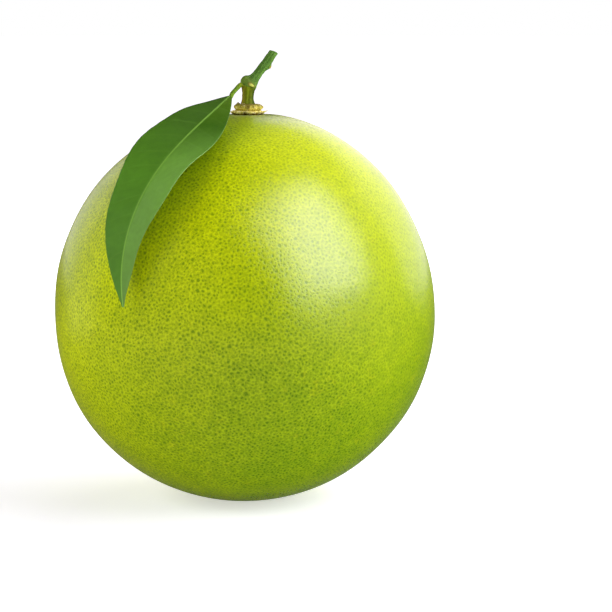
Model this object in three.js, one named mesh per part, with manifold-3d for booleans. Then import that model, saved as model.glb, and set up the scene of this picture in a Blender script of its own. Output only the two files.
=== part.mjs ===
// A whole pomelo as picked: the fruit, its dried calyx, a short cut twig and one leaf.
// It stands on a small flat spot at its blossom end.
// Millimetres, +Z up, origin at the centre of the flat spot, -Y towards the viewer.
import * as THREE from 'three';
import { mergeVertices } from 'three/addons/utils/BufferGeometryUtils.js';
import Module from 'manifold-3d';

// The fruit: two half ellipsoids that meet at the equator, a little lopsided as it grew
const FRUIT = {
  radius: 82,         // at the equator
  equator: 79.4,      // height of the widest girth above the flat spot
  rise: 86.3,         // from the equator to the stem end
  flatSpot: 15,       // radius of the spot it stands on
  lean: 1.7,          // how far the stem end sits off centre, towards +X
  dimple: 1.6,        // depth of the hollow round the calyx
  dimpleRadius: 8,
  seat: 164.2,        // height of the calyx's flat bed in that hollow
  seatRadius: 4.2,
  rings: 38,
  sides: 72,
};
// Low swells that keep the girth from being a true circle: waves round, size, phase, waves down
const SWELLS = [
  { round: 2, size: 0.55, phase: 0.4, down: 1 },
  { round: 3, size: 0.45, phase: 2.1, down: 2 },
  { round: 5, size: 0.22, phase: 1.0, down: 3 },
];

// The calyx, from its bed over a thin lower rim and a thicker upper one to the twig's foot:
// [radius, height, share of the lobes, how far its centre sits along X]
const CALYX_PROFILE = [
  [3.6, 164.2, 0, 1.8],
  [4.4, 164.9, 0.3, 1.7],
  [5.9, 165.5, 1, 1.5],
  [6.5, 165.75, 1, 1.5],
  [6.4, 166.15, 1, 1.5],
  [5.3, 166.3, 0.4, 1.8],
  [5.4, 166.75, 0.4, 2.1],
  [5.85, 167.4, 0.6, 2.1],
  [5.65, 168.3, 0.6, 2.1],
  [4.6, 168.95, 0.3, 2.0],
  [3.2, 169.25, 0, 1.85],
];
const CALYX = {
  sides: 60,
  lobes: 5,
  lobing: 0.1,        // how far the lobes stand out, as a share of the radius
  ragged: 0.035,      // the same for the dried, torn edge between them
  curl: 0.35,         // how far the rims curl up
  upperFrom: 166.5,   // the rim above this height has its lobes between the lower ones
  upperTurn: 0.9,
};

// The twig, from the calyx through its knuckle to the cut end: [x, y, z, radius]
const TWIG_COURSE = [
  [1.85, 0, 169.25, 2.8],
  [1.85, 0, 171.4, 2.3],
  [2.1, 0, 173.9, 2.4],
  [2.35, 0, 175.8, 2.75],
  [2.95, 0.1, 177.6, 3.0],
  [4.3, 0.5, 179.4, 2.4],
  [5.5, 0.9, 181.2, 2.0],
  [6.9, 1.4, 183.0, 1.9],
  [8.6, 2.0, 185.2, 1.9],
  [10.4, 2.8, 187.6, 1.9],
  [11.7, 3.3, 189.4, 1.9],
  [12.9, 3.9, 191.1, 1.88],
];
// What stands out of the twig: its place from 0 to 1, which way it faces, its height, and how far
// it reaches along the twig (a share of its length) and round it (radians)
const TWIG_SWELLS = [
  { at: 0.36, towards: [-0.9, -0.3, 0.15], height: 1.45, length: 0.055, spread: 0.75 },  // the leaf's cushion
  { at: 0.35, towards: [0.35, -0.9, 0.1], height: 0.5, length: 0.035, spread: 0.5 },     // a pale bud
  { at: 0.765, towards: [0.8, 0.1, -0.6], height: 1.1, length: 0.04, spread: 0.6 },      // an old leaf scar
];
const TWIG = {
  rows: 44,
  sides: 20,
  cutSlope: 0.24,     // the cut end leans this far off square
  cutReach: 20,       // the power that keeps that lean to the very end
};

// The petiole, from inside the leaf's cushion towards the blade: [x, y, z, radius]
const PETIOLE_COURSE = [
  [0.55, -0.6, 177.5, 1.1],
  [-1.3, -1.8, 177.2, 1.05],
  [-3.2, -4.2, 175.8, 0.9],
  [-4.6, -7.2, 174.2, 0.85],
];
const PETIOLE = { rows: 14, sides: 12, endRadius: 0.9, endStraight: 0.9 };
const SEAM = 0.3;     // the clear gap where two grown pieces meet

// The leaf hangs over the fruit's shoulder. Its midrib is told from the middle of the fruit's girth
// by the angle down from the stem, the way round and the distance. Lists are the weights of a
// Bernstein blend from the leaf's base to its tip; angles are in degrees.
const LEAF = {
  angle: [7.1, 82.4],
  azimuth: [-117.4, -125.3, -125.6, -122.8],
  distance: [94.05, 80.9, 94.0, 86.3],
  roll: [-2, -42, 56, -35],
  fold: [10.7, 8.5, 7.8],
  halfWidth: 17.05,
  opening: 0.93,      // the powers that shape its outline from the base and to the tip
  closing: 1.24,
  baseHalf: 0.85,     // half widths left at the very base and tip
  tipHalf: 0.35,
  endPower: 14,
  foldRounding: 0.02, // how round the foot of the fold is
  thick: 0.75,
  rib: 1.2,           // how far the midrib stands out below, at the base
  ribFade: 0.8,       // the share of it lost by the tip
  ribHalf: 1.3,
  rows: 46,
  across: 11,
};
// The waved margins, on the leaf's outer side (towards -X) and its inner one: how many waves, the
// power that crowds them, where they start, and how far the edge moves in the blade and out of it
const MARGINS = {
  outer: { waves: 4.03, crowding: 0.55, start: 1.37, ripple: 0.35, lift: 0.2 },
  inner: { waves: 2.61, crowding: 1.4, start: 0.4, ripple: 0.5, lift: -0.55 },
};

const rad = THREE.MathUtils.degToRad;

// A Bernstein blend of a list of weights, at s from 0 to 1
function blend(weights, s) {
  let row = [...weights];
  while (row.length > 1) row = row.slice(1).map((w, i) => row[i] * (1 - s) + w * s);
  return row[0];
}

// A closed skin of rings, each running anticlockwise seen from the end of the last row, with one
// point at each end. The quads of the columns that `turned` picks split along the other diagonal.
function skin(rows, columns, point, first, last, turned = () => false) {
  const positions = [...first];
  for (let i = 0; i < rows; i++)
    for (let j = 0; j < columns; j++) positions.push(...point(i, j));
  positions.push(...last);
  const at = (i, j) => 1 + i * columns + (j % columns);
  const end = 1 + rows * columns;
  const index = [];
  for (let j = 0; j < columns; j++) {
    index.push(0, at(0, j + 1), at(0, j));
    for (let i = 0; i + 1 < rows; i++) {
      const [a, b, c, d] = [at(i, j), at(i, j + 1), at(i + 1, j + 1), at(i + 1, j)];
      if (turned(j)) index.push(a, b, d, b, c, d);
      else index.push(a, b, c, a, c, d);
    }
    index.push(end, at(rows - 1, j), at(rows - 1, j + 1));
  }
  const geometry = new THREE.BufferGeometry();
  geometry.setAttribute('position', new THREE.Float32BufferAttribute(positions, 3));
  geometry.setIndex(index);
  return geometry;
}

// The fruit's skin at t, from 0 at the stem end to pi at the blossom end, and the angle round
function fruitPoint(t, turn) {
  const drop = FRUIT.equator / Math.sqrt(1 - (FRUIT.flatSpot / FRUIT.radius) ** 2);
  const sine = Math.sin(t);
  const upward = Math.max(0, Math.cos(t));
  const downward = Math.min(0, Math.cos(t));
  let swell = 0;
  for (const { round, size, phase, down } of SWELLS)
    swell += size * Math.cos(round * turn + phase + down * t);
  const r = FRUIT.radius * sine + swell * sine * sine;
  const hollow = upward > 0 ? FRUIT.dimple * Math.exp(-((r / FRUIT.dimpleRadius) ** 2)) : 0;
  const z = FRUIT.equator + FRUIT.rise * upward + drop * downward - hollow;
  return [r * Math.cos(turn) + FRUIT.lean * upward ** 3, r * Math.sin(turn), z];
}

function fruitGeometry() {
  const { rings, sides } = FRUIT;
  const crowding = 0.06; // closer rings at both ends
  const top = Math.asin(FRUIT.seatRadius / FRUIT.radius);
  const bottom = Math.PI - Math.asin(FRUIT.flatSpot / FRUIT.radius);
  const place = (i, j) => {
    const even = i / (rings - 1);
    const eased = even - crowding * Math.sin(2 * Math.PI * even);
    const p = fruitPoint(bottom + (top - bottom) * eased, (2 * Math.PI * j) / sides);
    if (i === 0) p[2] = 0;
    if (i === rings - 1) p[2] = FRUIT.seat;
    return p;
  };
  return skin(rings, sides, place, [0, 0, 0], [FRUIT.lean, 0, FRUIT.seat]);
}

// Two rims of short dried lobes round a woody button
function calyxGeometry() {
  const rows = CALYX_PROFILE.length;
  const place = (i, j) => {
    const [r, z, share, x] = CALYX_PROFILE[i];
    const turn = (2 * Math.PI * j) / CALYX.sides;
    const shift = z > CALYX.upperFrom ? CALYX.upperTurn : 0;
    const lobes = CALYX.lobing * Math.cos(CALYX.lobes * turn + shift);
    const torn = CALYX.ragged * (Math.sin(8 * turn + shift) + Math.cos(13 * turn + shift));
    const curl = CALYX.curl * share * Math.sin(3 * turn + shift) ** 2;
    const reach = r * (1 + share * (lobes + torn));
    return [x + reach * Math.cos(turn), reach * Math.sin(turn), z + curl];
  };
  const centre = ([, z, , x]) => [x, 0, z];
  return skin(rows, CALYX.sides, place, centre(CALYX_PROFILE[0]), centre(CALYX_PROFILE[rows - 1]));
}

// A course of [x, y, z, radius] as a smooth line, with a frame at s that doesn't twist
function alongCourse(course) {
  const smooth = (points) => new THREE.CatmullRomCurve3(points, false, 'catmullrom', 0.5);
  const line = smooth(course.map(([x, y, z]) => new THREE.Vector3(x, y, z)));
  const radii = smooth(course.map(([, , , r], i) => new THREE.Vector3(i, r, 0)));
  return (s) => {
    const along = line.getTangent(s);
    const side = new THREE.Vector3(0, 1, 0).cross(along).normalize();
    const over = along.clone().cross(side);
    return { centre: line.getPoint(s), along, side, over, radius: radii.getPoint(s).y };
  };
}

// The twig's skin. `extra` swells it all over, for cutting a seat that clears it.
function twigGeometry(extra = 0) {
  const frameAt = alongCourse(TWIG_COURSE);
  const place = (i, j) => {
    const s = i / (TWIG.rows - 1);
    const turn = (2 * Math.PI * j) / TWIG.sides;
    const { centre, along, side, over, radius } = frameAt(s);
    const out = side.multiplyScalar(Math.cos(turn)).addScaledVector(over, Math.sin(turn));
    let reach = radius + extra;
    for (const swell of TWIG_SWELLS) {
      const towards = new THREE.Vector3(...swell.towards).projectOnPlane(along);
      const round = out.angleTo(towards) / swell.spread;
      const away = (s - swell.at) / swell.length;
      reach += swell.height * Math.exp(-away * away - round * round);
    }
    const slant = TWIG.cutSlope * reach * Math.cos(turn) * s ** TWIG.cutReach;
    return centre.addScaledVector(out, reach).addScaledVector(along, slant).toArray();
  };
  const foot = TWIG_COURSE[0].slice(0, 3);
  const cut = TWIG_COURSE[TWIG_COURSE.length - 1].slice(0, 3);
  return skin(TWIG.rows, TWIG.sides, place, foot, cut);
}

const girthCentre = new THREE.Vector3(0, 0, FRUIT.equator);

function midrib(s) {
  const angle = rad(LEAF.angle[0] + (LEAF.angle[1] - LEAF.angle[0]) * s);
  const azimuth = rad(blend(LEAF.azimuth, s));
  const outward = new THREE.Vector3(
    Math.sin(angle) * Math.cos(azimuth),
    Math.sin(angle) * Math.sin(azimuth),
    Math.cos(angle),
  );
  return girthCentre.clone().addScaledVector(outward, blend(LEAF.distance, s));
}

function midribTangent(s) {
  const step = 1e-4;
  return midrib(s + step).sub(midrib(s - step)).normalize();
}

// The blade's middle surface at s along the midrib and t across it, -1 to 1, with its upward normal
function bladePoint(s, t) {
  const along = midribTangent(s);
  const out = midrib(s).sub(girthCentre).projectOnPlane(along).normalize();
  const across = along.clone().cross(out);
  const roll = rad(blend(LEAF.roll, s));
  const up = out.clone().multiplyScalar(Math.cos(roll)).addScaledVector(across, Math.sin(roll));
  const side = across.clone().multiplyScalar(Math.cos(roll)).addScaledVector(out, -Math.sin(roll));

  const { opening: p, closing: q } = LEAF;
  const widest = p / (p + q);
  const outline = (s ** p * (1 - s) ** q) / (widest ** p * (1 - widest) ** q);
  const ends = LEAF.baseHalf * (1 - s) ** LEAF.endPower + LEAF.tipHalf * s ** LEAF.endPower;
  const margin = t > 0 ? MARGINS.outer : MARGINS.inner;
  const phase = 2 * Math.PI * (margin.waves * s ** margin.crowding - margin.start);
  const swing = Math.cos(phase) * Math.sin(Math.PI * s);
  const half = LEAF.halfWidth * outline + ends + margin.ripple * swing;

  const fold = rad(blend(LEAF.fold, s));
  const valley = Math.sqrt(t * t + LEAF.foldRounding) - Math.sqrt(LEAF.foldRounding);
  const lift = margin.lift * swing * t * t;
  const point = midrib(s)
    .addScaledVector(side, half * t * Math.cos(fold))
    .addScaledVector(up, half * valley * Math.sin(fold) + lift);
  return { point, up, half };
}

function ribDepth(s) {
  return LEAF.rib * (1 - LEAF.ribFade * s);
}

// The middle of the blade's section over the midrib
function ribCentre(s) {
  const { point, up } = bladePoint(s, 0);
  return point.addScaledVector(up, -ribDepth(s) / 2);
}

// Both faces of the blade as one ring at each step along it, their quads split alike
function leafGeometry() {
  const columns = 2 * LEAF.across;
  const place = (i, j) => {
    const s = i / (LEAF.rows - 1);
    const below = j >= LEAF.across;
    const step = below ? columns - 1 - j : j;
    const t = -1 + (2 * step) / (LEAF.across - 1);
    const { point, up, half } = bladePoint(s, t);
    const rib = ribDepth(s) * Math.exp(-(((t * half) / LEAF.ribHalf) ** 2));
    return point.addScaledVector(up, below ? -LEAF.thick / 2 - rib : LEAF.thick / 2).toArray();
  };
  const belowOnly = (j) => j >= LEAF.across;
  return skin(LEAF.rows, columns, place, ribCentre(0).toArray(), ribCentre(1).toArray(), belowOnly);
}

// A tube from inside the twig's cushion to one seam short of the blade
function petioleTube() {
  const { rows, sides, endRadius, endStraight } = PETIOLE;
  const backFromBlade = (gap) => ribCentre(0).addScaledVector(midribTangent(0), -gap).toArray();
  const course = [
    ...PETIOLE_COURSE,
    [...backFromBlade(SEAM + endStraight), endRadius],
    [...backFromBlade(SEAM), endRadius],
  ];
  const frameAt = alongCourse(course);
  const place = (i, j) => {
    const { centre, side, over, radius } = frameAt(i / (rows - 1));
    const turn = (2 * Math.PI * j) / sides;
    return centre
      .addScaledVector(side, radius * Math.cos(turn))
      .addScaledVector(over, radius * Math.sin(turn))
      .toArray();
  };
  return skin(rows, sides, place, course[0].slice(0, 3), backFromBlade(SEAM));
}

const wasm = await Module();
wasm.setup();

function toSolid(geometry) {
  const merged = mergeVertices(geometry);
  return new wasm.Manifold(new wasm.Mesh({
    numProp: 3,
    vertProperties: new Float32Array(merged.attributes.position.array),
    triVerts: new Uint32Array(merged.index.array),
  }));
}

// The petiole's root follows the twig's cushion, one seam away from it
function petioleGeometry() {
  const cut = toSolid(petioleTube()).subtract(toSolid(twigGeometry(SEAM))).getMesh();
  const geometry = new THREE.BufferGeometry();
  geometry.setAttribute('position', new THREE.BufferAttribute(cut.vertProperties, 3));
  geometry.setIndex(new THREE.BufferAttribute(cut.triVerts, 1));
  return geometry;
}

function piece(name, geometry, colour, roughness) {
  geometry.computeVertexNormals();
  const material = new THREE.MeshStandardMaterial({ color: colour, roughness, metalness: 0 });
  const mesh = new THREE.Mesh(geometry, material);
  mesh.name = name;
  return mesh;
}

const pomelo = new THREE.Group();
pomelo.name = 'pomelo';
pomelo.add(
  piece('fruit', fruitGeometry(), 0xa9bb10, 0.42),
  piece('calyx', calyxGeometry(), 0xb09a48, 0.8),
  piece('twig', twigGeometry(), 0x587a34, 0.65),
  piece('petiole', petioleGeometry(), 0x6f9a30, 0.55),
  piece('leaf_blade', leafGeometry(), 0x528236, 0.45),
);

export default pomelo;
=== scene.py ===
import math

import bpy
import numpy as np
from mathutils.geometry import delaunay_2d_cdt
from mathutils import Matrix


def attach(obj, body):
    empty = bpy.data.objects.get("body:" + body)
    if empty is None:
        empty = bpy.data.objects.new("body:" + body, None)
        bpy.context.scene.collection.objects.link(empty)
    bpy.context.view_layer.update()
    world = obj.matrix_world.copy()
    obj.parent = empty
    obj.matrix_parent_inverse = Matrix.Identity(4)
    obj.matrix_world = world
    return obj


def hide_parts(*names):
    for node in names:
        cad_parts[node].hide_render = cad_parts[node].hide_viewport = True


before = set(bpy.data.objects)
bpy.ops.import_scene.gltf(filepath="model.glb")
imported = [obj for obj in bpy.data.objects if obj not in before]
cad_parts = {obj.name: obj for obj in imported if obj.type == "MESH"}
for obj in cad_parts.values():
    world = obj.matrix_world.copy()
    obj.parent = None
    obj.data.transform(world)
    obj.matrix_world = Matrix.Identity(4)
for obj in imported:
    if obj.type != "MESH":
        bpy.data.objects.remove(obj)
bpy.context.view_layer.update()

# A whole pomelo with its calyx, twig and one leaf, in metres. Every piece is worked out here as
# arrays and laid over the solid it replaces.
mm = 0.001
fullTurn = 2 * math.pi


# Shared shapes

def waves(points, wavelength, count, seed):
    # A smooth random field near -1 to 1: cosines across random directions, their mean swelled.
    draw = np.random.default_rng(seed)
    ways = draw.normal(size=(3, count))
    ways *= fullTurn / wavelength / np.linalg.norm(ways, axis=0) * draw.uniform(0.6, 1.5, count)
    return np.cos(points @ ways + draw.uniform(0, fullTurn, count)).sum(-1) / math.sqrt(count)


def bump(value, middle, width):
    # A bell curve: 1 at the middle, a third at one width from it.
    return np.exp(-((value - middle) / width) ** 2)


def step(value, low, high):
    # Smooth from 0 at low to 1 at high.
    t = np.clip((value - low) / (high - low), 0, 1)
    return t * t * (3 - 2 * t)


def blend(weights, s):
    # A Bernstein blend: the weights are mixed pairwise by s until one is left.
    row = [np.full_like(s, w) for w in weights]
    while len(row) > 1:
        row = [a * (1 - s) + b * s for a, b in zip(row, row[1:])]
    return row[0]


def unit(vectors):
    return vectors / np.linalg.norm(vectors, axis=-1, keepdims=True)


def course(points, s):
    # A smooth line through the points at s from 0 to 1, with its direction. Between two points it
    # is the cubic whose slope at each is half the step between its neighbours.
    points = np.asarray(points, float)
    ends = np.vstack([2 * points[:1] - points[1:2], points, 2 * points[-1:] - points[-2:-1]])
    u = np.clip(s, 0, 1) * (len(points) - 1)
    i = np.minimum(u.astype(int), len(points) - 2)
    t = (u - i)[..., None]
    a, b, c, d = (ends[i + k] for k in range(4))
    rate, bend, twist = c - a, 2 * a - 5 * b + 4 * c - d, 3 * b - a - 3 * c + d
    place = 0.5 * (2 * b + rate * t + bend * t**2 + twist * t**3)
    return place, 0.5 * (rate + 2 * bend * t + 3 * twist * t**2)


def turnGrid(steps, sides):
    # The places along a piece, and the turn round it at each.
    return np.meshgrid(steps, np.arange(sides) * fullTurn / sides, indexing="ij")


def carried(points, s, turn):
    # A round section carried along a course: its middles and radii, the way along, and the way
    # out, which is side * cos(turn) + over * sin(turn).
    place, slope = course(points, s)
    along = unit(slope[..., :3])
    side = unit(np.cross([0.0, 1.0, 0.0], along))
    out = side * np.cos(turn)[..., None] + np.cross(along, side) * np.sin(turn)[..., None]
    return place[..., :3], place[..., 3], along, out


def meshPiece(name, points, quads=None, triangles=None, fields=None):
    # One mesh object at the origin, smooth, with a float attribute for each field.
    quads = np.zeros((0, 4), int) if quads is None else quads
    triangles = np.zeros((0, 3), int) if triangles is None else triangles
    mesh = bpy.data.meshes.new(name)
    mesh.vertices.add(len(points))
    mesh.vertices.foreach_set("co", np.ascontiguousarray(points, np.float32).ravel())
    corners = np.concatenate([quads.ravel(), triangles.ravel()]).astype(np.int32)
    starts = np.concatenate([np.arange(len(quads)) * 4, quads.size + np.arange(len(triangles)) * 3])
    mesh.loops.add(len(corners))
    mesh.loops.foreach_set("vertex_index", corners)
    mesh.polygons.add(len(starts))
    mesh.polygons.foreach_set("loop_start", starts.astype(np.int32))
    mesh.update(calc_edges=True)
    mesh.shade_smooth()
    for key, values in (fields or {}).items():
        layer = mesh.attributes.new(key, "FLOAT", "POINT")
        layer.data.foreach_set("value", np.ascontiguousarray(values, np.float32).ravel())
    piece = bpy.data.objects.new(name, mesh)
    bpy.context.scene.collection.objects.link(piece)
    return piece


def closedSkin(name, rings, first, last, fields):
    # Rings of points (rows, columns, 3), each turning anticlockwise seen from the last row,
    # joined by quads and closed by a fan to one point at each end.
    rows, columns = rings.shape[:2]
    at = 1 + np.arange(rows * columns).reshape(rows, columns)
    after = np.roll(at, -1, 1)
    quads = np.stack([at[:-1], after[:-1], after[1:], at[1:]], -1).reshape(-1, 4)
    foot = np.stack([np.zeros(columns, int), after[0], at[0]], -1)
    head = np.stack([np.full(columns, 1 + rows * columns), at[-1], after[-1]], -1)
    points = np.vstack([first, rings.reshape(-1, 3), last])
    closed = {key: np.concatenate([[np.mean(values[0])], values.ravel(), [np.mean(values[-1])]])
              for key, values in fields.items()}
    return meshPiece(name, points, quads, np.vstack([foot, head]), closed)


# Shared material parts. A colour of three values is a screen colour, 0 to 255; one of four is
# what a shader takes, or what is kept of the red, green and blue underneath.

def colour(values):
    screen = np.array(values) / 255
    linear = np.where(screen <= 0.04045, screen / 12.92, ((screen + 0.055) / 1.055) ** 2.4)
    return (*linear.tolist(), 1.0)


def addNode(tree, kind, settings=None, **sockets):
    # A node with its settings and sockets; a socket's name has _ for a space or is its number.
    made = tree.nodes.new("ShaderNode" + kind)
    for key, value in (settings or {}).items():
        setattr(made, key, value)
    for key, value in sockets.items():
        socket = made.inputs[int(key[1:]) if key[1:].isdigit() else key.replace("_", " ")]
        if isinstance(value, bpy.types.NodeSocket):
            tree.links.new(value, socket)
        else:
            socket.default_value = value
    return made


def field(tree, name):
    return addNode(tree, "Attribute", {"attribute_name": name}).outputs["Fac"]


def objectPlace(tree):
    return addNode(tree, "TexCoord").outputs["Object"]


def spread(tree, value, low, high, toLow=0.0, toHigh=1.0):
    # The value's stretch from low to high, eased and held at its ends.
    made = addNode(tree, "MapRange", {"interpolation_type": "SMOOTHSTEP"}, Value=value,
                   From_Min=low, From_Max=high, To_Min=toLow, To_Max=toHigh)
    return made.outputs["Result"]


def reckon(tree, how, first, *others):
    # All the values added up, multiplied or compared, from the first on.
    for other in others:
        first = addNode(tree, "Math", {"operation": how}, _0=first, _1=other).outputs[0]
    return first


def towards(tree, way):
    # How far a point of the piece lies along a way, in metres.
    made = addNode(tree, "VectorMath", {"operation": "DOT_PRODUCT"}, _0=objectPlace(tree), _1=way)
    return made.outputs["Value"]


def noise(tree, size, detail=2.0, roughness=0.5):
    # Noise whose blots are about `size` metres, on the piece's own object coordinates.
    fitted = addNode(tree, "Mapping", Vector=objectPlace(tree), Scale=(1 / size, 1 / size, 1 / size))
    return addNode(tree, "TexNoise", Vector=fitted.outputs[0], Scale=1.0, Detail=detail,
                   Roughness=roughness).outputs["Fac"]


def mottle(tree, size, detail, low, high, toLow=0.0, toHigh=1.0):
    # Blots of noise, spread between two values.
    return spread(tree, noise(tree, size, detail), low, high, toLow, toHigh)


def layered(tree, base, *layers, how="MIX"):
    # Colours laid one over another, each as far as its factor says.
    for factor, top in layers:
        base, top = (colour(c) if isinstance(c, tuple) and len(c) == 3 else c for c in (base, top))
        settings = {"data_type": "RGBA", "blend_type": how}
        base = addNode(tree, "Mix", settings, _0=factor, _6=base, _7=top).outputs[2]
    return base


def ramp(tree, value, stops):
    # Colours set out along a value from 0 to 1.
    made = addNode(tree, "ValToRGB", Fac=value)
    for _ in stops[2:]:
        made.color_ramp.elements.new(0.5)
    for element, (at, shade) in zip(made.color_ramp.elements, stops):
        element.position = at
        element.color = colour(shade)
    return made.outputs["Color"]


def bumped(tree, height, strength, depth, under=None):
    # A relief, laid over the one under it if there is one.
    sockets = {"Height": height, "Strength": strength, "Distance": depth}
    if under is not None:
        sockets["Normal"] = under
    return addNode(tree, "Bump", **sockets).outputs[0]


def newMaterial(name, **sockets):
    # A material whose shader takes these values for good; a socket's name has _ for a space.
    made = bpy.data.materials.new(name)
    made.use_nodes = True
    shader = made.node_tree.nodes["Principled BSDF"]
    for key, value in sockets.items():
        shader.inputs[key.replace("_", " ")].default_value = value
    return made, made.node_tree


def finished(made, **sockets):
    # The material again, once what its nodes worked out is led into the shader's sockets.
    shader = made.node_tree.nodes["Principled BSDF"]
    for key, value in sockets.items():
        made.node_tree.links.new(value, shader.inputs[key.replace("_", " ")])
    return made


# The rind
rind = {
    "radius": 82 * mm,
    "equator": 79.4 * mm,      # height of the widest girth
    "rise": 86.3 * mm,         # from there to the stem end
    "flatSpot": 15 * mm,
    "lean": 1.7 * mm,          # the stem end sits off centre
    "dimple": 1.6 * mm,
    "dimpleRadius": 8 * mm,
    # waves round the girth: how many, size, phase, how much the phase turns on the way down
    "swells": [(2, 0.55 * mm, 0.4, 1), (3, 0.45 * mm, 2.1, 2), (5, 0.22 * mm, 1.0, 3)],
    "dents": 0.22 * mm,        # broad hollows and rises felt by hand
    "dentWaves": (0.55, 24, 4),    # wavelength as a share of the radius, how many, seed
    "settle": 0.3 * mm,        # how softly the foot meets the table
    "glands": 31000,
    "shake": 0.38,             # how far a gland strays, as a share of their spacing
    "shakeSeed": 11,
    "pit": 0.07 * mm,
    "pitSeed": 5,
    "scarRadius": 3.2 * mm,    # the blossom scar under the fruit
    "scarDepth": 0.55 * mm,
    "stemReach": 17 * mm,      # how far the greener skin by the stalk reaches, darkened round the calyx as painted shade
    # the leaf's shadow painted on the skin as a darker green: reach and strength from its base to its tip,
    # and how far it lies from the midrib towards the inner margin
    "paintedLeafShadow": ((13 * mm, 15 * mm, 10 * mm, 8 * mm), (0.3, 1.5, 0.5, 0.1)),
    "shadeAside": 12 * mm,
    "finish": {
        "roughness": 0.24,
        "specular": 0.35,
        "bloom": 0.12,                       # the waxy bloom that pales the rim
        "bloomRoughness": 0.25,
        # from the sunny side to the shaded one, greener there as unripe skin and darker towards the bottom
        # and the front as painted shade: how far over, ground colour
        "ground": [(0.0, (202, 215, 5)), (0.38, (170, 185, 2)), (0.62, (150, 169, 2)),
                   (1.0, (110, 139, 2))],
        "shadedWay": (0.35, -0.6, -0.72),
        "shadedReach": (-0.086, 0.03),       # metres along that way
        # painted shade on the right and upper-left flanks, as darker greener skin: the way, from and to in
        # metres, how far over they are
        "paintedShadeFlanks": [((1.0, 0.6, 0.0), 0.02, 0.11, 0.0, 0.42), ((-1.0, 0.0, 0.6), 0.116, 0.136, 0.0, 0.3)],
        # size of the blots, detail, low and high, what those become
        "patches": (40 * mm, 3.0, 0.3, 0.72, -0.03, 0.03),
        "smallPatches": (6 * mm, 2.0, 0.25, 0.75, -0.05, 0.05),
        "ragged": (0.7 * mm, 1.0, 0.25, 0.75, -0.2, 0.2),    # at the rim of each dot
        "merged": (2 * mm, 1.0, 0.3, 0.7, -0.08, 0.1),       # where dots grow or shrink
        "blots": (4.2 * mm, 1.0, 0.62, 0.78, 0.0, 0.16),
        "blush": (184, 178, 4),              # of those blots
        # how ripe the skin is runs from about 0 between the dots to 1 at a gland's middle
        "dot": (0.32, 0.76),                 # from a dot's rim to its dark middle
        "between": (0.28, -0.06),            # from a dot's rim to the palest skin
        "gland": (0.47, 0.59, 0.24, 1.0),
        "net": (1.37, 1.3, 1.4, 1.0),
        "smallGlands": 760.0,                # small dots per metre
        "smallDot": (0.46, 0.24, 0.0, 0.8),
        "smallDotRoom": (0.36, 0.08),        # only where no larger dot is
        # where the dots are fainter: the way, from and to in metres, their strength
        "faintWay": (1.0, 0.0, 0.5),
        "faint": (0.062, 0.095, 1.0, 0.65),
        # the painted leaf shadow: what it keeps of the red, green and blue underneath
        "paintedLeafShadow": (0.42, 0.55, 0.5, 1.0),
        # greener skin by the stalk, its darkness round the calyx painted shade
        "stem": (92, 120, 16),
        "stemShare": 0.9,
        "scar": (122, 96, 44),
        "scarEdge": (0.35, 0.75),
        "pitRelief": (0.35, -0.1 * mm),      # strength and depth
        "grain": (0.9 * mm, 2.0, 0.5),       # size, detail, roughness
        "grainRelief": (0.1, 0.1 * mm),
    },
}


def spreadGlands(count, shake, seed):
    # Gland i stands at height 1 - (2i + 1) / count, turned on by the golden angle, then is shaken.
    # The last one is the blossom end.
    i = np.arange(count)
    turn = i * math.pi * (3 - math.sqrt(5))
    height = 1 - (2 * i + 1) / count
    across = np.sqrt(1 - height**2)
    points = np.stack([across * np.cos(turn), across * np.sin(turn), height], 1)
    spacing = math.sqrt(4 * math.pi / count)
    points = unit(points + np.random.default_rng(seed).normal(0, shake * spacing, points.shape))
    points[-1] = 0, 0, -1
    return points


def ballTriangles(points):
    # Seen from the last point, the ball's other points fall on a flat map, (x, y) / (1 + z), where
    # circles stay circles. The map's Delaunay triangles and a fan from its rim to the last point
    # join every gland to its neighbours.
    flat = points[:-1, :2] / (1 + points[:-1, 2:])
    found = np.array(delaunay_2d_cdt(flat.tolist(), [], [], 0, 0.0)[2])
    a, b, c = (flat[found[:, k]] for k in range(3))
    ab, ac = b - a, c - a
    turned = ab[:, 0] * ac[:, 1] - ab[:, 1] * ac[:, 0] < 0
    found[turned] = found[turned][:, ::-1]
    start, end = found.ravel(), np.roll(found, -1, 1).ravel()
    alone = ~np.isin(end * len(points) + start, start * len(points) + end)
    last = np.full(alone.sum(), len(points) - 1)
    return np.vstack([found, np.stack([end[alone], start[alone], last], 1)])


def glandCells(glands):
    # Round each gland, the middles of its triangles are the corners of its cell. Each directed side
    # a-b of a triangle gives one triangle of a's cell: a, the corner beyond the side, this corner.
    found = ballTriangles(glands)
    corners = unit(glands[found].sum(1))
    start, end = found.ravel().astype(np.int64), np.roll(found, -1, 1).ravel().astype(np.int64)
    owner = np.repeat(np.arange(len(found)), 3)
    key, back = start * len(glands) + end, end * len(glands) + start
    order = np.argsort(key)
    beyond = owner[order[np.searchsorted(key, back, sorter=order)]]
    return corners, np.stack([start, len(glands) + beyond, len(glands) + owner], 1)


def evenGlands(glands):
    # Each gland moves to the mean of its cell's corners, which evens out the spacing.
    corners, cells = glandCells(glands)
    ends = np.concatenate([glands, corners])[cells[:, 2]]
    return unit(np.stack([np.bincount(cells[:, 0], ends[:, k], len(glands)) for k in range(3)], 1))


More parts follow.
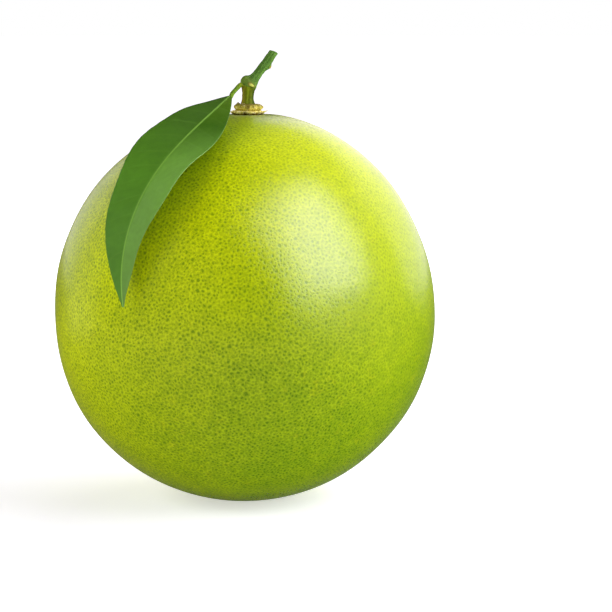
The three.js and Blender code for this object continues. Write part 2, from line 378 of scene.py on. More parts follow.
def rindSurface(ways):
    # Two half ellipsoids: radius times sin(t) across and rise or drop times cos(t) up, with low
    # swells round the girth, a bell-shaped hollow at the stem and a foot eased flat on the table.
    p = rind
    drop = p["equator"] / math.sqrt(1 - (p["flatSpot"] / p["radius"]) ** 2)
    upward, downward = np.maximum(0, ways[:, 2]), np.minimum(0, ways[:, 2])
    sine = np.sqrt(np.maximum(0, 1 - ways[:, 2] ** 2))
    t, turn = np.arccos(np.clip(ways[:, 2], -1, 1)), np.arctan2(ways[:, 1], ways[:, 0])
    swell = sum(size * np.cos(k * turn + phase + down * t) for k, size, phase, down in p["swells"])
    dents = p["dents"] * waves(ways, *p["dentWaves"]) * sine
    r = p["radius"] * sine + swell * sine**2 + dents * sine
    hollow = np.where(ways[:, 2] > 0, p["dimple"] * bump(r, 0, p["dimpleRadius"]), 0)
    z = p["equator"] + p["rise"] * upward + drop * downward - hollow + dents * ways[:, 2]
    z = 0.5 * (z + np.sqrt(z**2 + p["settle"] ** 2))
    scar = np.where(ways[:, 2] < 0, bump(r, 0, p["scarRadius"]), 0)
    stem = np.where(ways[:, 2] > 0, bump(r, 0, p["stemReach"]), 0)
    x = r * np.cos(turn) + p["lean"] * upward**3
    return np.stack([x, r * np.sin(turn), z + p["scarDepth"] * scar], 1), scar, stem


def paintLeafShadow(points):
    # The leaf's painted shadow on the rind: the strongest of many bells set along the leaf's inner half, by
    # their distance from a point.
    s = np.linspace(0, 1, 40)
    reach, strength = (blend(values, s) for values in rind["paintedLeafShadow"])
    middle, _, _, side = leafFrame(s)
    away = np.linalg.norm(points[:, None] - (middle - side * rind["shadeAside"])[None], axis=-1)
    return (strength * bump(away, 0, reach)).max(1)


def makeRind():
    # Every gland is the middle of a cell and sinks into the surface by its own share of the pit.
    glands = evenGlands(spreadGlands(rind["glands"], rind["shake"], rind["shakeSeed"]))
    corners, cells = glandCells(glands)
    ways = np.concatenate([glands, corners])
    draw = np.random.default_rng(rind["pitSeed"])
    strength = np.where(np.arange(len(ways)) < len(glands), draw.uniform(0.5, 1.0, len(ways)), 0)
    points, scar, stem = rindSurface(ways)
    points -= ways * (rind["pit"] * strength)[:, None]
    points[:, 2] = np.maximum(points[:, 2], 0)
    fields = {"gland": strength, "scar": scar, "stem": stem, "paintedLeafShadow": paintLeafShadow(points)}
    return meshPiece("rind", points, triangles=cells, fields=fields)


def rindMaterial():
    # A ground that turns from the sunny side to the shaded one, partly unripe green and partly painted shade
    # towards the bottom and the front, with the flanks darkened as painted shade; greener by the stalk, with
    # painted shade round the calyx, and the leaf's shadow painted along it; over it pale skin between the
    # dots, large dots on the glands and small ones between.
    p = rind["finish"]
    made, tree = newMaterial("rind", Roughness=p["roughness"], Specular_IOR_Level=p["specular"],
                             Sheen_Weight=p["bloom"], Sheen_Roughness=p["bloomRoughness"],
                             Sheen_Tint=(1, 1, 1, 1))
    low, high = p["shadedReach"]
    over = addNode(tree, "MapRange", Value=towards(tree, p["shadedWay"]), From_Min=low, From_Max=high)
    # the flanks are painted shade: they push the skin towards the darker, greener end of the ground
    paintedShadeFlanks = [spread(tree, towards(tree, way), *span) for way, *span in p["paintedShadeFlanks"]]
    patches = [mottle(tree, *p[key]) for key in ("patches", "smallPatches")]
    ground = ramp(tree, reckon(tree, "ADD", over.outputs["Result"], *patches, *paintedShadeFlanks), p["ground"])
    ripe = reckon(tree, "ADD", field(tree, "gland"), mottle(tree, *p["ragged"]), mottle(tree, *p["merged"]))
    clear = spread(tree, towards(tree, p["faintWay"]), *p["faint"])
    dot = spread(tree, ripe, *p["dot"])
    net = reckon(tree, "MULTIPLY", spread(tree, ripe, *p["between"]), clear)
    seeds = addNode(tree, "TexVoronoi", Vector=objectPlace(tree), Scale=p["smallGlands"]).outputs["Distance"]
    room = spread(tree, ripe, *p["smallDotRoom"])
    small = reckon(tree, "MULTIPLY", spread(tree, seeds, *p["smallDot"]), room)
    # the stalk's greener skin, with painted shade round the calyx
    stem = reckon(tree, "MULTIPLY", field(tree, "stem"), p["stemShare"])
    skin = layered(tree, ground, (mottle(tree, *p["blots"]), p["blush"]), (stem, p["stem"]))
    dots, smallDots = (reckon(tree, "MULTIPLY", factor, clear) for factor in (dot, small))
    # multiplied in: the leaf's painted shadow, then the pale net and the dots
    skin = layered(tree, skin, (field(tree, "paintedLeafShadow"), p["paintedLeafShadow"]), (net, p["net"]),
                   (dots, p["gland"]), (smallDots, p["gland"]), how="MULTIPLY")
    skin = layered(tree, skin, (spread(tree, field(tree, "scar"), *p["scarEdge"]), p["scar"]))
    pits = bumped(tree, reckon(tree, "MAXIMUM", dot, small), *p["pitRelief"])
    relief = bumped(tree, noise(tree, *p["grain"]), *p["grainRelief"], pits)
    return finished(made, Base_Color=skin, Normal=relief)


# The calyx: a thin lower rim and a thicker upper one, from the fruit up to the twig's foot
calyx = {
    # radius, height, share of the lobes, centre along X
    "profile": [(3.6, 164.2, 0, 1.8), (4.9, 164.35, 0.3, 1.7), (6.0, 164.9, 1, 1.5),
                (6.6, 165.5, 1, 1.5), (6.4, 166.0, 1, 1.5), (5.3, 166.3, 0.4, 1.8),
                (5.4, 166.75, 0.4, 2.1), (5.85, 167.4, 0.6, 2.1), (5.65, 168.3, 0.6, 2.1),
                (4.6, 168.95, 0.3, 2.0), (3.2, 169.25, 0, 1.85), (2.3, 169.4, 0, 1.85)],
    "rows": 72,
    "sides": 300,
    "lobes": 5,
    "lobing": 0.1,
    "ragged": 0.035,
    "curl": 0.35 * mm,
    "upperRim": (166.3 * mm, 166.7 * mm),    # between these heights the upper rim's turn sets in
    "upperTurn": 0.9,
    # turn in degrees, place along the profile, how far it sticks out and up in mm, width in
    # degrees, reach along the profile
    "tips": [(0, 0.34, 1.5, 0.5, 6, 0.05), (182, 0.84, 0.1, 1.0, 12, 0.05),
             (-62, 0.3, 0.6, -0.1, 9, 0.05), (-118, 0.34, 0.5, 0.3, 11, 0.05),
             (128, 0.33, 0.7, 0.2, 10, 0.05)],
    "wrinkle": 0.16 * mm,
    "wrinkleFrom": (0.02, 0.2),      # along the profile, so that the foot stays smooth
    # strength, wavelength, how many waves, seed
    "crumple": [(1.0, 2.2 * mm, 20, 8), (0.6, 0.9 * mm, 20, 9)],
    "finish": {
        "roughness": 0.8,
        "specular": 0.1,
        # from underneath, over the lower rim and the groove, to the top: darker underneath the lower rim and
        # towards the stalk as painted shade, paler on the lower rim's edge and the upper rim's lower side as
        # painted highlights
        "along": [(0.0, (80, 62, 10)), (0.12, (92, 72, 12)), (0.2, (150, 126, 36)),
                  (0.28, (220, 200, 112)), (0.36, (240, 226, 126)), (0.45, (196, 176, 78)),
                  (0.53, (190, 172, 60)), (0.62, (214, 198, 88)), (0.7, (186, 172, 70)),
                  (0.8, (128, 116, 34)), (0.9, (104, 96, 24)), (1.0, (96, 90, 24))],
        # size of the blots, detail, low and high, what those become
        "shifted": (2.8 * mm, 2.0, 0.3, 0.7, -0.045, 0.045),
        "bark": (104, 80, 20),
        "barkBlots": (1.3 * mm, 3.0, 0.54, 0.72, 0.0, 0.75),
        "creaseShade": (-0.5, -1.5, 0.0, 0.6),   # low and high crumple, and how far it takes the bark colour, as painted shade in the creases
        # dried calyx on the tips, and a painted highlight on the crests
        "pale": (250, 238, 200),
        "crestHighlights": (0.5, 1.6, 0.0, 0.45),     # the same for the pale colour, a painted highlight on the crests
        "tips": (0.3, 0.8, 0.0, 0.6),
        "grain": (0.6 * mm, 3.0, 0.6),
        "grainRelief": (0.35, 0.2 * mm),
    },
}


def makeCalyx():
    # The profile is carried round; its radius swells with five lobes and torn harmonics, the rims
    # curl up with a slow square of a sine, and small dried tips stand out as bells.
    p = calyx
    v, turn = turnGrid(np.linspace(0, 1, p["rows"]), p["sides"])
    profile = course(np.array(p["profile"]) * [mm, mm, 1, mm], v)[0]
    r, z, share, x = (profile[..., k] for k in range(4))
    share = np.clip(share, 0, 1)
    shift = p["upperTurn"] * step(z, *p["upperRim"])
    torn = np.sin(8 * turn + shift) + np.cos(13 * turn + shift) + 0.5 * np.sin(23 * turn + 3 * shift)
    torn += 0.35 * np.cos(37 * turn + 1 + 4 * shift)
    reach = r * (1 + share * (p["lobing"] * np.cos(p["lobes"] * turn + shift) + p["ragged"] * torn))
    lift = p["curl"] * share * np.sin(3 * turn + shift) ** 2
    tipField = np.zeros_like(v)
    for at, where, out, up, width, along in p["tips"]:
        away = np.angle(np.exp(1j * (turn - math.radians(at)))) / math.radians(width)
        tip = np.exp(-np.abs(away) ** 1.5) * bump(v, where, along)
        reach = reach + out * mm * tip
        lift = lift + up * mm * tip
        tipField = np.maximum(tipField, tip)
    rings = np.stack([x + reach * np.cos(turn), reach * np.sin(turn), z + lift], -1)
    flat = rings.reshape(-1, 3)
    crumple = sum(strength * waves(flat, *kind) for strength, *kind in p["crumple"]).reshape(v.shape)
    out = np.stack([np.cos(turn), np.sin(turn), 0.4 + 0 * turn], -1)
    rings += out * (p["wrinkle"] * crumple * step(v, *p["wrinkleFrom"]))[..., None]
    ends = [[[p["profile"][k][3] * mm, 0, p["profile"][k][1] * mm]] for k in (0, -1)]
    return closedSkin("calyx", rings, *ends, {"along": v, "tip": tipField, "crumple": crumple})


def calyxMaterial():
    # Colours along the profile, shifted a little by noise, with painted shade underneath the lower rim and
    # by the stalk and painted highlights on the rims; bark in blots, and in the creases as painted shade; a
    # pale colour on the crests as a painted highlight and on the tips as dried calyx.
    p = calyx["finish"]
    made, tree = newMaterial("calyx", Roughness=p["roughness"], Specular_IOR_Level=p["specular"])
    crumple = field(tree, "crumple")
    body = ramp(tree, reckon(tree, "ADD", field(tree, "along"), mottle(tree, *p["shifted"])), p["along"])
    body = layered(tree, body, (mottle(tree, *p["barkBlots"]), p["bark"]),
                   # painted shade in the creases and painted highlights on the crests
                   (spread(tree, crumple, *p["creaseShade"]), p["bark"]),
                   (spread(tree, crumple, *p["crestHighlights"]), p["pale"]),
                   (spread(tree, field(tree, "tip"), *p["tips"]), p["pale"]))
    relief = bumped(tree, noise(tree, *p["grain"]), *p["grainRelief"])
    return finished(made, Base_Color=body, Normal=relief)


# The twig: stalk, knuckle and cut branch
twig = {
    # x, y, z, radius
    "course": [(1.85, 0, 169.25, 3.0), (1.87, 0, 171.4, 2.5), (2.05, 0, 173.9, 2.55),
               (2.2, 0, 175.8, 2.95), (2.8, 0.1, 177.6, 3.2), (4.25, 0.5, 179.4, 2.45),
               (5.5, 0.9, 181.2, 2.0), (6.9, 1.4, 183.0, 1.9), (8.6, 2.0, 185.2, 1.9),
               (10.4, 2.8, 187.6, 1.9), (11.7, 3.3, 189.4, 1.9), (12.9, 3.9, 191.1, 1.88)],
    "rows": 240,
    "sides": 160,
    "capRows": 10,           # the cut face, from its rim to the pith
    "cutSlope": 0.24,
    "cutReach": 20,          # the higher, the nearer to the end the slant sets in
    "pithSunk": 0.12 * mm,
    "pithReach": 0.35,       # as a share of the face
    # what stands out: place along it, the way it faces, height, length along, spread round (radians)
    "swellings": {
        "cushion": (0.36, (-0.9, -0.3, 0.15), 1.15 * mm, 0.055, 0.7),
        "bud": (0.35, (0.35, -0.9, 0.1), 0.5 * mm, 0.035, 0.5),
        "scar": (0.765, (0.8, 0.1, -0.6), 1.1 * mm, 0.04, 0.6),
        "flare": (0.43, (-0.9, -0.1, 0.4), 0.75 * mm, 0.05, 0.7),
    },
    "ribs": 0.07 * mm,
    "knots": 0.06 * mm,
    "knotWaves": (2.4 * mm, 24, 21),             # wavelength, how many, seed
    "lines": (8, 11, 13, 17, 19, 22, 26),        # waves round the bark that draw its fine lines
    "lineSeed": 31,
    "finish": {
        "roughness": 0.75,
        "specular": 0.06,
        "green": (60, 96, 27),
        "light": (94, 132, 54),
        "clouds": (2.5 * mm, 2.0, 0.3, 0.7, 0.0, 0.4),
        # from here on each pair is where a change starts and ends; two more are its strength there
        "streaks": (-1.1, 1.1, 0.0, 0.6),
        "olive": (96, 108, 10),                  # the stalk
        "oliveLight": (124, 138, 20),
        "stalkEnd": (0.325, 0.29),
        "brown": (150, 134, 44),                 # its weathered left side, lighter there as a painted highlight, and the leaf scar
        "weatheredAndHighlight": (0.1, 0.95, 0.0, 0.7),
        "shadedOlive": (62, 78, 12),             # its right side
        "shaded": (-0.2, -0.9),
        "knuckle": (100, 121, 40),
        "knuckleStart": (0.3, 0.34, 0.0, 0.75),
        "knuckleEnd": (0.47, 0.37),
        "bud": (190, 196, 92),
        "budEdge": (0.3, 0.75),
        "budRing": (112, 100, 38),
        "ringStart": (0.25, 0.42, 0.0, 0.7),
        "ringEnd": (0.78, 0.6),
        "scarEdge": (0.45, 0.8),
        "face": (150, 164, 96),
        "faceEdge": (0.4, 0.9),
        "pith": (206, 204, 160),
        "pithEdge": (0.55, 0.8),
        "grain": (1.2 * mm, 2.0, 0.5),
        "grainRelief": (0.15, 0.2 * mm),
    },
}


def standingOut(spot, s, out, along):
    # A swelling's bell: it falls off with the distance along the twig and the angle round it.
    at, way, _, length, reach = spot
    facing = np.array(way) - along * (along @ np.array(way))[..., None]
    angle = np.arccos(np.clip((out * unit(facing)).sum(-1), -1, 1))
    return np.exp(-((s - at) / length) ** 2 - (angle / reach) ** 2)


def makeTwig():
    # A round section carried along the course: ribs run lengthwise and wander a little, and the
    # leaf's cushion, a bud and an old leaf scar stand out of it. The last rows close the cut face.
    p = twig
    s, turn = turnGrid(np.concatenate([np.linspace(0, 1, p["rows"]), np.ones(p["capRows"])]), p["sides"])
    shrink = np.concatenate([np.ones(p["rows"]), np.linspace(0.96, 0.08, p["capRows"])])[:, None]
    centre, radius, along, out = carried(np.array(p["course"]) * mm, s, turn)
    marks = {key: standingOut(spot, s, out, along) for key, spot in p["swellings"].items()}
    reach = radius + sum(spot[2] * marks[key] for key, spot in p["swellings"].items())
    wander = 0.5 * np.sin(9 * s + 1)
    ribs = np.cos(7 * turn + wander) + 0.6 * np.cos(11 * turn - 2 * wander + 1) + 0.5 * np.cos(17 * turn + 3)
    knots = waves((centre + out * radius[..., None]).reshape(-1, 3), *p["knotWaves"]).reshape(s.shape)
    reach = reach + p["ribs"] * ribs * (1 - 0.6 * marks["bud"]) + p["knots"] * knots
    slant = p["cutSlope"] * reach * np.cos(turn) * s ** p["cutReach"]
    face = np.where(np.arange(len(s))[:, None] >= p["rows"], 1.0, 0.0) + 0 * s
    sunk = p["pithSunk"] * face * bump(shrink, 0, p["pithReach"])
    rings = centre + out * (reach * shrink)[..., None] + along * (slant * shrink - sunk)[..., None]
    draw = np.random.default_rng(p["lineSeed"])
    lines = sum(draw.uniform(0.5, 1) * np.cos(k * turn + draw.uniform(0, 6.28) + draw.uniform(-3, 3) * s)
                for k in p["lines"]) / 1.6
    fields = {"along": s, "bud": marks["bud"], "scar": marks["scar"], "lines": lines, "face": face,
              "pith": face * (1 - shrink), "left": -out[..., 0]}
    ends = np.array(p["course"])[[0, -1], :3] * mm
    return closedSkin("twig", rings, ends[:1], ends[1:] - along[-1, :1] * p["pithSunk"], fields)


def twigMaterial():
    # Streaky green bark with a knuckle of its own colour and an olive stalk below it, brown on its left side
    # from weathering and a painted highlight and darker on its right as painted shade; over them the bud in
    # a darker ring, the leaf scar and the cut face with its pith.
    p = twig["finish"]
    made, tree = newMaterial("twig", Roughness=p["roughness"], Specular_IOR_Level=p["specular"])

    def part(name, key):
        return spread(tree, field(tree, name), *p[key])

    shade = reckon(tree, "ADD", part("lines", "streaks"), mottle(tree, *p["clouds"]))
    knuckle = reckon(tree, "MULTIPLY", part("along", "knuckleStart"), part("along", "knuckleEnd"))
    ring = reckon(tree, "MULTIPLY", part("bud", "ringStart"), part("bud", "ringEnd"))
    # the stalk: brown on its left, partly weathering and partly a painted highlight; painted shade on its
    # right
    stalk = layered(tree, p["olive"], (shade, p["oliveLight"]), (part("left", "weatheredAndHighlight"), p["brown"]),
                    (part("left", "shaded"), p["shadedOlive"]))
    face = layered(tree, p["face"], (part("pith", "pithEdge"), p["pith"]))
    bark = layered(tree, p["green"], (shade, p["light"]), (knuckle, p["knuckle"]),
                   (part("along", "stalkEnd"), stalk), (part("bud", "budEdge"), p["bud"]),
                   (ring, p["budRing"]), (part("scar", "scarEdge"), p["brown"]),
                   (part("face", "faceEdge"), face))
    relief = bumped(tree, noise(tree, *p["grain"]), *p["grainRelief"])
    return finished(made, Base_Color=bark, Normal=relief)


# The leaf
leaf = {
    # the midrib seen from the fruit's middle, from base to tip, in degrees and metres
    "angle": (7.1, 82.4),                # down from the stem
    "azimuth": (-117.4, -125.3, -125.6, -122.8),
    "distance": (94.05 * mm, 80.9 * mm, 94.0 * mm, 86.3 * mm),
    "roll": (-2, -42, 56, -35),          # the blade's turn about it
    "fold": (10.7, 8.5, 7.8),            # how far each half is folded up
    "foldRounding": 0.004,
    "halfWidth": 17.05 * mm,
    "opening": 0.93,                     # how the outline widens from the base
    "closing": 1.24,                     # and narrows to the tip
    "baseHalf": 0.85 * mm,
    "tipHalf": 0.5 * mm,
    "endPower": 14,
    "thick": 0.42 * mm,
    "rib": 1.2 * mm,                     # below, at the base
    "ribFade": 0.8,
    "ribHalf": 1.1 * mm,
    "ribLine": 0.1 * mm,                 # the fine ridge on top of it
    "ribLineHalf": 0.55 * mm,
    "rows": 330,
    "across": 85,
    # waves, crowding, start, ripple in the blade, lift out of it
    "outer": (4.03, 0.55, 1.37, 0.35 * mm, 0.2 * mm),
    "inner": (2.61, 1.4, 0.4, 0.5 * mm, -0.55 * mm),
    "nicks": 0.045 * mm,                 # in the margin
    "veinRoom": (1.5 * mm, 6 * mm),      # the half widths where veins begin and where they are full
    "veins": 13,                         # on each side
    "veinSlope": 0.0468,                 # how far towards the tip a vein runs, as a share of the blade
    "veinBow": 0.35,                     # and how much more of that near the margin
    "veinStagger": 0.35,                 # between the two sides, as a share of a vein's spacing
    "veinWidth": 0.11,                   # as a share of half their spacing
    "veinDepth": 0.05 * mm,
    "quilt": 0.09 * mm,                  # the blade's rise between the veins
    "finish": {
        "roughness": 0.42,
        "specular": 0.22,
        # from the base to the tip, on the outer half and on the inner one: the outer half darker towards the
        # base as painted shade, the inner half lighter and bluer past its base as a painted sheen
        "outer": [(0.0, (53, 85, 8)), (0.2, (58, 97, 9)), (0.5, (84, 135, 33)), (1.0, (80, 126, 38))],
        "inner": [(0.0, (92, 130, 20)), (0.2, (63, 106, 13)), (0.45, (120, 172, 65)), (1.0, (94, 134, 54))],
        "halves": (-0.12, 0.12),         # where one half's colour passes into the other's
        # size of the blots, detail, low and high, what those become
        "clouds": [(12 * mm, 3.0, 0.3, 0.7, 0.46, 0.54), (2.5 * mm, 3.0, 0.3, 0.7, 0.45, 0.55)],
        "vein": (112, 160, 56),
        "veinShare": 0.13,
        "edge": (96, 136, 58),
        "edgeShare": (0.98, 1.0, 0.0, 0.2),
        "rib": (130, 178, 66),
        "ribShare": (0.2, 0.85, 0.0, 0.85),
        "under": (120, 148, 84),
        "underVeinShare": 0.5,
        "pores": 900.0,                  # per metre
        "poreWall": (0.0, 0.12),
        "poreRelief": (0.15, 0.06 * mm),
        "grain": (4 * mm, 3.0, 0.5),
        "grainRelief": (0.2, 0.3 * mm),
    },
}


def midrib(s):
    # A point at a given angle from the upright, way round and distance from the fruit's middle.
    angle = np.radians(leaf["angle"][0] + (leaf["angle"][1] - leaf["angle"][0]) * s)
    azimuth = np.radians(blend(leaf["azimuth"], s))
    way = np.stack([np.sin(angle) * np.cos(azimuth), np.sin(angle) * np.sin(azimuth), np.cos(angle)], -1)
    return np.array([0, 0, rind["equator"]]) + way * blend(leaf["distance"], s)[..., None]


def leafFrame(s):
    # The midrib's point, its direction, the blade's upward normal and its way across: the way out
    # from the fruit and the way square to it, turned by the roll.
    point = midrib(s)
    along = unit(midrib(s + 1e-4) - midrib(s - 1e-4))
    out = point - [0, 0, rind["equator"]]
    out = unit(out - along * (out * along).sum(-1)[..., None])
    across = np.cross(along, out)
    roll = np.radians(blend(leaf["roll"], s))[..., None]
    up, side = np.cos(roll) * out + np.sin(roll) * across, np.cos(roll) * across - np.sin(roll) * out
    return point, along, up, side


def veinField(s, t):
    # Side veins leave the midrib at a slant and bend towards the tip: thin crests of a repeating
    # wave in s - slope * (|t| + bow * t^2), and a smooth rise between them.
    p = leaf
    reach = np.abs(t)
    outline = np.sin(math.pi * np.clip(s, 0, 1)) ** 0.7
    warp = 0.006 * np.sin(23 * s + 2 * np.sign(t)) + 0.01 * np.sin(9 * s + np.sign(t))
    slant = p["veinSlope"] * outline * (reach + p["veinBow"] * reach**2)
    phase = p["veins"] * (s - slant + warp) + p["veinStagger"] * (t > 0)
    crest = np.abs(phase - np.round(phase)) * 2
    strength = 0.75 + 0.25 * np.sin(np.round(phase) * 2.4 + np.sign(t))
    line = bump(crest, 0, p["veinWidth"]) * step(reach, 0.02, 0.06) * step(reach, 0.98, 0.75) * strength
    rise = np.sin(math.pi * crest / 2) ** 2 * step(reach, 0.0, 0.25) * step(reach, 1.0, 0.7)
    return line, rise


def makeLeaf():
    # Half the width at s follows s^p (1 - s)^q. The blade folds up along the midrib by a rounded V,
    # its margins wave, and top and underside run as one ring at each step along it.
    p = leaf
    steps = np.linspace(-1, 1, p["across"])
    steps = np.sign(steps) * np.abs(steps) ** 1.25        # closer together by the midrib
    even = np.linspace(0, 1, p["rows"])
    s, t = np.meshgrid(even, np.concatenate([steps, steps[::-1]]), indexing="ij")
    below = np.repeat([0.0, 1.0], p["across"])[None] + 0 * s
    point, _, up, side = leafFrame(s)
    a, b = p["opening"], p["closing"]
    widest = a / (a + b)
    outline = s**a * (1 - s) ** b / (widest**a * (1 - widest) ** b)
    ends = p["baseHalf"] * (1 - s) ** p["endPower"] + p["tipHalf"] * s ** p["endPower"]
    margin = np.where((t > 0)[..., None], p["outer"], p["inner"])
    swing = np.cos(fullTurn * (margin[..., 0] * s ** margin[..., 1] - margin[..., 2])) * np.sin(math.pi * s)
    nicks = (np.sin(190 * s + 2 * np.sin(31 * s)) + np.sin(123 * s + t)) * np.sin(math.pi * s) * t**4
    half = p["halfWidth"] * outline + ends + margin[..., 3] * swing + p["nicks"] * nicks
    fold = np.radians(blend(p["fold"], s))
    valley = np.sqrt(t**2 + p["foldRounding"]) - math.sqrt(p["foldRounding"])
    line, rise = veinField(s, t)
    room = step(half, *p["veinRoom"])
    line, rise = line * room, rise * room
    fromRib = t * half
    ribLine = bump(fromRib, 0, p["ribLineHalf"] * (1 - 0.55 * s))
    lift = margin[..., 4] * swing * t**2 + p["quilt"] * rise - p["veinDepth"] * line
    lift = lift + p["ribLine"] * ribLine * room
    depth = p["rib"] * (1 - p["ribFade"] * s) * bump(fromRib, 0, p["ribHalf"] * (1 - 0.5 * s))
    thickness = p["thick"] * (1 - 0.5 * t**8)
    off = np.where(below > 0.5, -thickness / 2 - depth - p["veinDepth"] * line, thickness / 2)
    rings = point + side * (half * t * np.cos(fold))[..., None]
    rings = rings + up * (half * valley * np.sin(fold) + lift + off)[..., None]
    tips = [point[k, :1] - up[k, :1] * p["rib"] * (1 - p["ribFade"] * even[k]) / 2 for k in (0, -1)]
    fields = {"vein": line, "rib": ribLine, "edge": np.abs(t), "under": below, "along": s, "half": t}
    return closedSkin("leafBlade", rings, *tips, fields)


def leafMaterial():
    # Each half has its own colours from base to tip, the lighter inner half a painted sheen and the darker
    # outer half painted shade, clouded a little; over them lie veins, the margin, the pale underside and the
    # rib, and the surface has the leather of fine pores.
    p = leaf["finish"]
    made, tree = newMaterial("leaf", Roughness=p["roughness"], Specular_IOR_Level=p["specular"])
    outer, inner = (ramp(tree, field(tree, "along"), p[key]) for key in ("outer", "inner"))
    clouds = reckon(tree, "ADD", *(mottle(tree, *kind) for kind in p["clouds"]))
    clouds = addNode(tree, "CombineColor", _0=clouds, _1=clouds, _2=clouds).outputs[0]
    # the halves meet at the midrib: painted shade on the outer one, a painted sheen on the inner one
    blade = layered(tree, inner, (spread(tree, field(tree, "half"), *p["halves"]), outer))
    blade = layered(tree, blade, (1.0, clouds), how="MULTIPLY")
    vein = field(tree, "vein")
    under = layered(tree, p["under"], (reckon(tree, "MULTIPLY", vein, p["underVeinShare"]), p["rib"]))
    blade = layered(tree, blade, (reckon(tree, "MULTIPLY", vein, p["veinShare"]), p["vein"]),
                    (spread(tree, field(tree, "edge"), *p["edgeShare"]), p["edge"]),
                    (field(tree, "under"), under),
                    (spread(tree, field(tree, "rib"), *p["ribShare"]), p["rib"]))
    net = addNode(tree, "TexVoronoi", {"feature": "DISTANCE_TO_EDGE"}, Scale=p["pores"],
                  Vector=objectPlace(tree)).outputs["Distance"]
    pores = bumped(tree, spread(tree, net, *p["poreWall"]), *p["poreRelief"])
    relief = bumped(tree, noise(tree, *p["grain"]), *p["grainRelief"], pores)
    return finished(made, Base_Color=blade, Normal=relief)


# The petiole runs from inside the twig's cushion into the blade's rib, with no seam to see
petiole = {
    # x, y, z, radius
    "course": [(1.6, -0.3, 177.3, 1.2), (0.2, -0.9, 177.5, 1.15), (-1.3, -1.8, 177.2, 1.05),
               (-2.95, -4.3, 175.5, 0.95), (-4.45, -7.3, 173.8, 0.95)],
    "intoBlade": 0.045,      # how far along the blade its end lies
    "endRadii": (0.85 * mm, 0.35 * mm),
    "rows": 90,
    "sides": 40,
    "groove": 0.13,          # the furrow along its upper side, as a share of the radius
    "grooveWidth": 0.45,     # in radians
    "lines": 0.02,           # fine ribs lengthwise, as a share of the radius
    "finish": {
        "roughness": 0.65,
        "specular": 0.08,
        "stalk": (80, 112, 9),
        "light": (104, 134, 20),
        "streaks": (0.35, 0.65),
        "base": (164, 176, 22),
        "baseReach": (0.5, 0.15),        # where along it the base's colour starts and is full
        "grain": (1.5 * mm, 3.0, 0.5),
        "grainRelief": (0.3, 0.2 * mm),
    },
}


def makePetiole():
    # A round section carried along the course, with a shallow furrow on its upper side.
    p = petiole
    point, _, up, _ = leafFrame(np.array([0.0, p["intoBlade"]]))
    ends = np.column_stack([point - up * (leaf["rib"] / 2), p["endRadii"]])
    points = np.vstack([np.array(p["course"]) * mm, ends])
    s, turn = turnGrid(np.linspace(0, 1, p["rows"]), p["sides"])
    centre, radius, _, out = carried(points, s, turn)
    furrow = bump(np.arccos(np.clip(out[..., 2], -1, 1)), 0, p["grooveWidth"])
    lines = p["lines"] * np.cos(9 * turn + 2 * np.sin(5 * s))
    rings = centre + out * (radius * (1 - p["groove"] * furrow + lines))[..., None]
    return closedSkin("petiole", rings, points[:1, :3], points[-1:, :3], {"along": s})


def petioleMaterial():
    # Mottled green, yellower towards the twig; the same noise raises and lightens it.
    p = petiole["finish"]
    made, tree = newMaterial("petiole", Roughness=p["roughness"], Specular_IOR_Level=p["specular"])
    grain = noise(tree, *p["grain"])
    stalk = layered(tree, p["stalk"], (spread(tree, grain, *p["streaks"]), p["light"]),
                    (spread(tree, field(tree, "along"), *p["baseReach"]), p["base"]))
    return finished(made, Base_Color=stalk, Normal=bumped(tree, grain, *p["grainRelief"]))


# Every piece over its node of the frame: how it is made, its material, the node, the slot
pieces = [
    (makeRind, rindMaterial, "fruit", "rind"),
    (makeCalyx, calyxMaterial, "calyx", "calyx"),
    (makeTwig, twigMaterial, "twig", "twig"),
    (makeLeaf, leafMaterial, "leaf_blade", "leaf"),
    (makePetiole, petioleMaterial, "petiole", "petiole"),
]
for make, material, node, slot in pieces:
    piece = make()
    piece.data.materials.append(material())
    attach(piece, "root")
    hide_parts(node)
    print(slot, "made")


# The studio: the photographer's place, a pale floor, a pale surround and soft lamps
studio = {
    "camera": (26.708 * mm, -992.179 * mm, 204.262 * mm),
    "cameraDown": 7,               # degrees below level
    "lens": 136.55,                # on a sensor 36 mm wide
    "floorSize": 60.0,
    "floorColour": (0.9, 0.9, 0.94, 1.0),
    "floorRoughness": 0.9,
    "glowColour": (0.95, 0.9, 1.0, 1.0),   # against the green that the rind throws on the floor
    "floorGlow": (0.52, 1.15),     # by the fruit and far off
    "glowReach": (0.12, 1.2),      # metres along the floor from under the fruit
    "levelLight": 0.2,             # from the surround at the floor's height
    "skyLight": 0.03,              # and from higher up
    "skyFrom": 0.5,                # the sine of how high that starts
    # name, the way to it, how far, its width and height, power in watts, tint, for shading, for gloss
    "lamps": [
        ("right", (0.9, -0.14, 0.42), 1.5, (2.0, 1.6), 36.0, (1, 1, 1), True, False),
        ("left", (-0.8, -0.2, 0.54), 1.5, (0.7, 0.7), 6.8, (1, 1, 1), True, False),
        ("frontLeft", (-0.74, -0.62, 0.2), 1.5, (2.0, 1.8), 6.8, (1, 1, 1), True, False),
        ("rear", (0.27, 0.57, 0.78), 1.5, (1.2, 1.0), 8.0, (1, 1, 1), True, False),
        ("keySheen", (0.67, -0.43, 0.61), 1.5, (0.8, 1.25), 24.5, (0.5, 0.45, 1), False, True),
        ("keyHalo", (0.63, -0.45, 0.645), 1.5, (1.5, 1.8), 47.0, (1, 1, 1), False, True),
        ("rearSheen", (0.5, 0.79, 0.345), 1.6, (1.7, 1.2), 9.8, (0.85, 0.78, 1), False, True),
        ("rearLeftSheen", (-0.56, 0.78, 0.28), 1.6, (1.0, 0.9), 2.6, (0.9, 0.9, 1), False, True),
        ("leftSheen", (-0.88, 0.38, 0.22), 1.6, (0.9, 1.2), 1.6, (0.7, 0.7, 1), False, True),
    ],
}


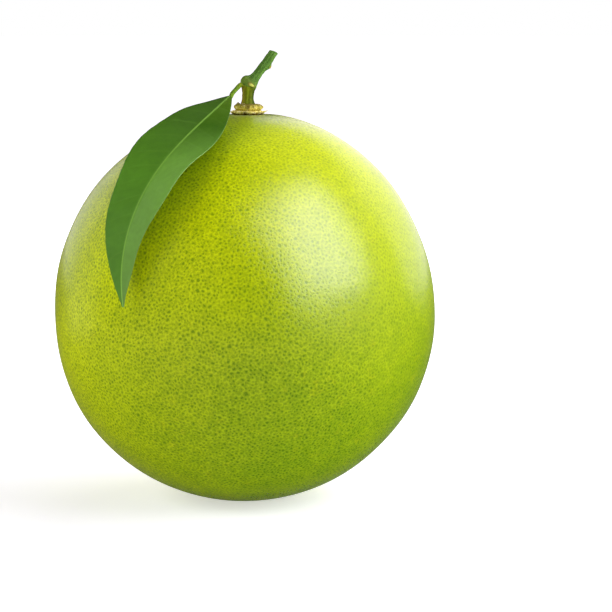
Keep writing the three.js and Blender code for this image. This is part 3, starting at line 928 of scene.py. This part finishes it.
def makeCamera():
    # It looks straight ahead and a little down, from where the photographer stood.
    data = bpy.data.cameras.new("camera")
    data.lens = studio["lens"]
    data.sensor_width = 36
    data.clip_end = 50
    made = bpy.data.objects.new("camera", data)
    made.location = studio["camera"]
    made.rotation_euler = (math.radians(90 - studio["cameraDown"]), 0, 0)
    bpy.context.scene.collection.objects.link(made)
    bpy.context.scene.camera = made


def makeFloor():
    # One large square whose glow grows with the distance from the fruit.
    corners = np.array([[-1, -1, 0], [1, -1, 0], [1, 1, 0], [-1, 1, 0]])
    floor = meshPiece("floor", corners * studio["floorSize"] / 2, quads=np.array([[0, 1, 2, 3]]))
    made, tree = newMaterial("floor", Base_Color=studio["floorColour"], Roughness=studio["floorRoughness"],
                             Specular_IOR_Level=0.1, Emission_Color=studio["glowColour"])
    away = addNode(tree, "VectorMath", {"operation": "LENGTH"}, _0=objectPlace(tree)).outputs["Value"]
    glow = spread(tree, away, *studio["glowReach"], *studio["floorGlow"])
    floor.data.materials.append(finished(made, Emission_Strength=glow))
    floor.visible_glossy = False


def makeSurround():
    # White to the camera; to the pieces, a pale band that fades upwards from the floor's height.
    world = bpy.data.worlds.new("surround")
    bpy.context.scene.world = world
    world.use_nodes = True
    tree = world.node_tree
    way = addNode(tree, "TexCoord").outputs["Generated"]
    height = addNode(tree, "SeparateXYZ", Vector=way).outputs["Z"]
    light = addNode(tree, "MapRange", Value=height, From_Max=studio["skyFrom"],
                    To_Min=studio["levelLight"], To_Max=studio["skyLight"]).outputs["Result"]
    light = reckon(tree, "MAXIMUM", light, addNode(tree, "LightPath").outputs["Is Camera Ray"])
    background = tree.nodes["Background"]
    background.inputs["Color"].default_value = (1, 1, 1, 1)
    tree.links.new(light, background.inputs["Strength"])
    world.cycles_visibility.glossy = False


def makeLamps():
    # Each faces the fruit's middle from its own way.
    middle = np.array([0, 0, rind["equator"]])
    for name, way, far, (width, height), power, tint, shading, gloss in studio["lamps"]:
        data = bpy.data.lights.new(name, "AREA")
        data.shape = "RECTANGLE"
        data.size, data.size_y = width, height
        data.energy = power
        data.color = tint
        lamp = bpy.data.objects.new(name, data)
        way = unit(np.array(way))
        lamp.location = middle + way * far
        lamp.rotation_euler = (math.acos(way[2]), 0, math.atan2(way[1], way[0]) + math.pi / 2)
        lamp.visible_camera = False
        lamp.visible_diffuse = shading
        lamp.visible_glossy = gloss
        bpy.context.scene.collection.objects.link(lamp)


makeCamera()
print("camera set")
makeFloor()
makeSurround()
makeLamps()
bpy.context.scene.view_settings.view_transform = "Standard"
print("studio lit")
